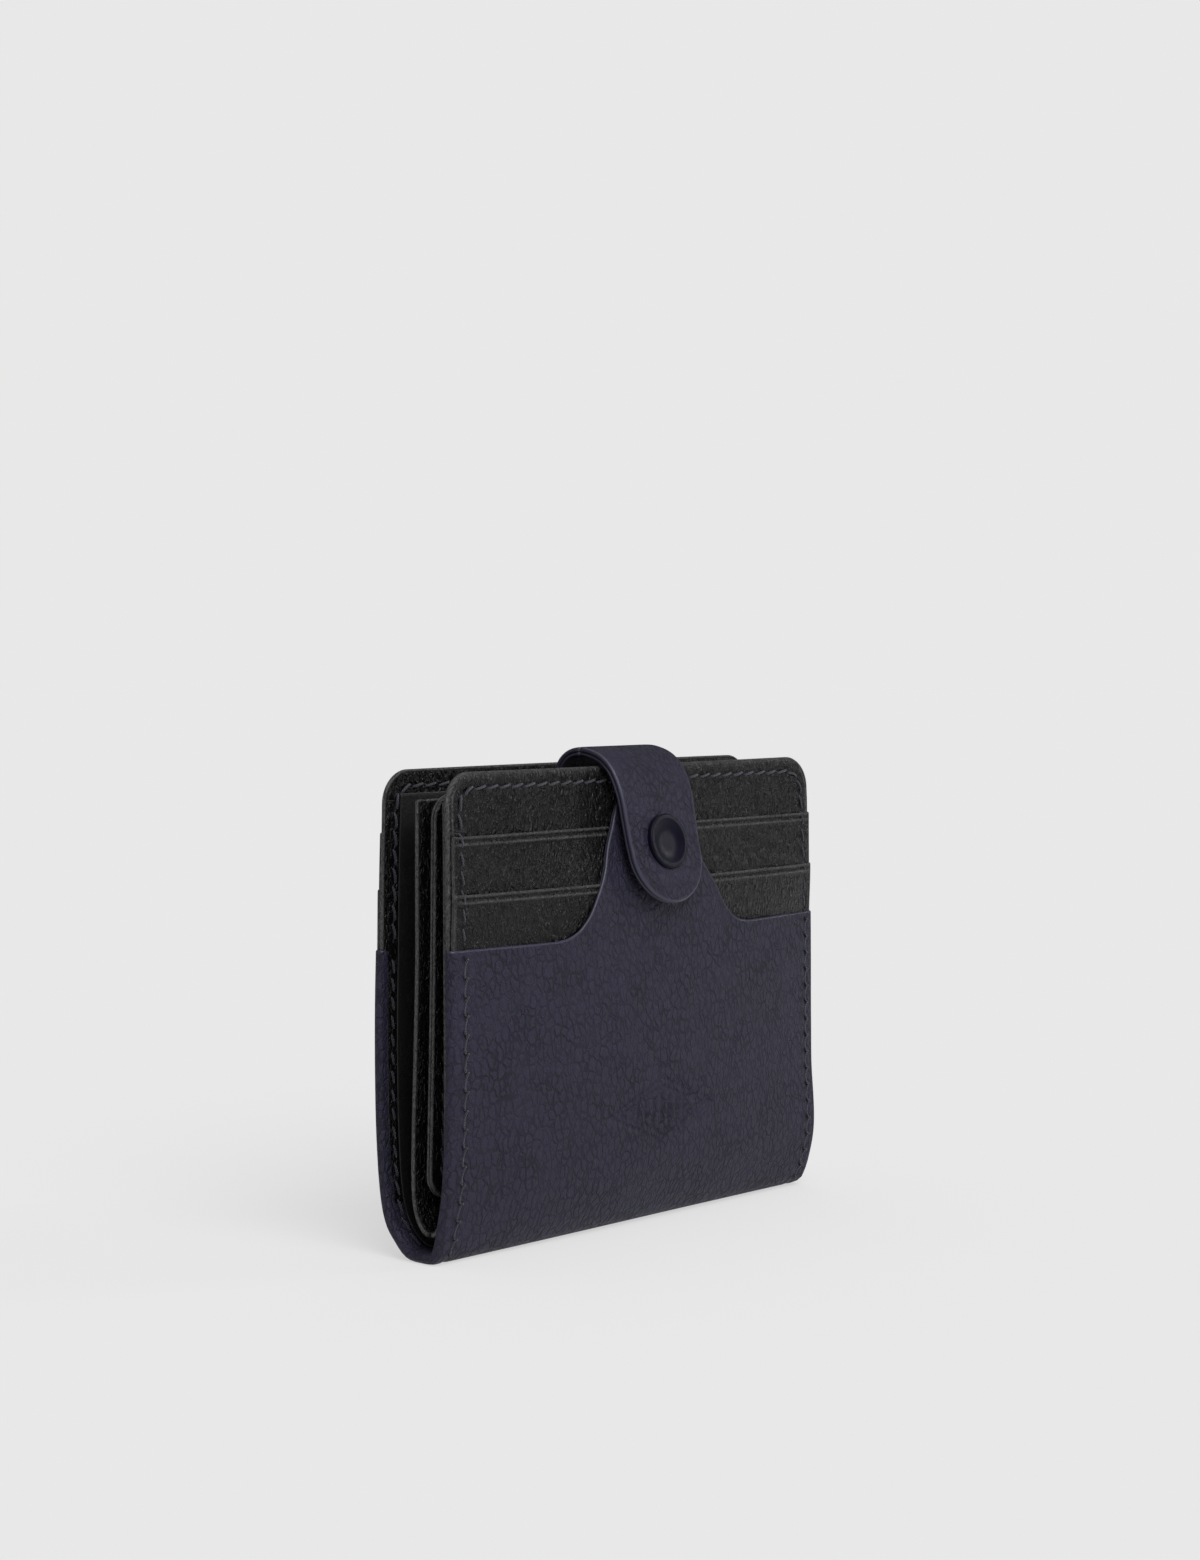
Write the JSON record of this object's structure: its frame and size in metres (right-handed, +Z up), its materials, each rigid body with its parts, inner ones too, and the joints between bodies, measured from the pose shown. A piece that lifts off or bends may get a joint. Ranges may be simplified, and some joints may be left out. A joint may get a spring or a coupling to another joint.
{
  "type": "card holder",
  "caption": "Bifold card holder in pebbled and smooth leather, standing on its fold, with outer card slots and a snap strap over the top.",
  "frame": {"origin": "on the resting face under the fold, midway along the spine", "axes": "+X along the spine, +Y towards the back cover, +Z up towards the open edge"},
  "size_m": [0.1, 0.0283, 0.0872],
  "materials": {
    "pebbled_leather": "pebbled, matt",
    "smooth_leather": "fine grain, satin",
    "lining": "smooth, satin",
    "strap_lining": "smooth, matt",
    "board": "matt fibre board",
    "cap_paint": "satin paint",
    "snap_steel": "satin"
  },
  "bodies": {
    "spine": {"inner_fold": "smooth_leather", "spine_lining": "lining", "spine_outer": "pebbled_leather"},
    "back_cover": {"back_board": "board", "back_lining": "lining", "back_outer_pocket": "pebbled_leather", "back_pocket_lining": "lining", "back_shell": "smooth_leather", "back_slot_lower": "smooth_leather", "back_slot_upper": "smooth_leather", "inner_back_arm": "smooth_leather", "inner_back_slot_lower": "smooth_leather", "inner_back_slot_upper": "smooth_leather", "strap_root_lining": "strap_lining", "strap_root_outer": "pebbled_leather"},
    "front_cover": {"front_board": "board", "front_lining": "lining", "front_outer_pocket": "pebbled_leather", "front_pocket_lining": "lining", "front_shell": "smooth_leather", "front_slot_lower": "smooth_leather", "front_slot_upper": "smooth_leather", "inner_front_arm": "smooth_leather", "inner_front_slot_lower": "smooth_leather", "inner_front_slot_upper": "smooth_leather", "snap_stud": "snap_steel", "snap_stud_post": "snap_steel"},
    "page": {"page_back_panel": "smooth_leather", "page_front_panel": "smooth_leather"},
    "strap_bridge": {"strap_bridge_lining": "strap_lining", "strap_bridge_outer": "pebbled_leather"},
    "strap_tab": {"snap_cap": "cap_paint", "snap_socket": "snap_steel", "strap_tab_lining": "strap_lining", "strap_tab_outer": "pebbled_leather"}
  },
  "joints": [
    {"name": "back_cover_fold", "type": "hinge", "parent": "spine", "child": "back_cover", "pos_m": [0, 0.0055, 0.004], "axis": [-1, 0, 0], "range_deg": [0, 80]},
    {"name": "front_cover_fold", "type": "hinge", "parent": "spine", "child": "front_cover", "pos_m": [0, -0.0065, 0.003], "axis": [1, 0, 0], "range_deg": [0, 80]},
    {"name": "page_turn", "type": "hinge", "parent": "spine", "child": "page", "pos_m": [0, -0.0016, 0.0095], "axis": [-1, 0, 0], "range_deg": [0, 74.4]},
    {"name": "strap_back_flex", "type": "hinge", "parent": "back_cover", "child": "strap_bridge", "pos_m": [0, 0.0027, 0.0854], "axis": [-1, 0, 0], "range_deg": [0, 80]},
    {"name": "strap_front_flex", "type": "hinge", "parent": "strap_bridge", "child": "strap_tab", "pos_m": [0, -0.009, 0.0853], "axis": [-1, 0, 0], "range_deg": [0, 80]}
  ],
  "couplings": [
    {"joint": "front_cover_fold", "follows": "back_cover_fold", "ratio": 1},
    {"joint": "page_turn", "follows": "back_cover_fold", "ratio": 0.93},
    {"joint": "strap_front_flex", "follows": "strap_back_flex", "ratio": 1}
  ]
}
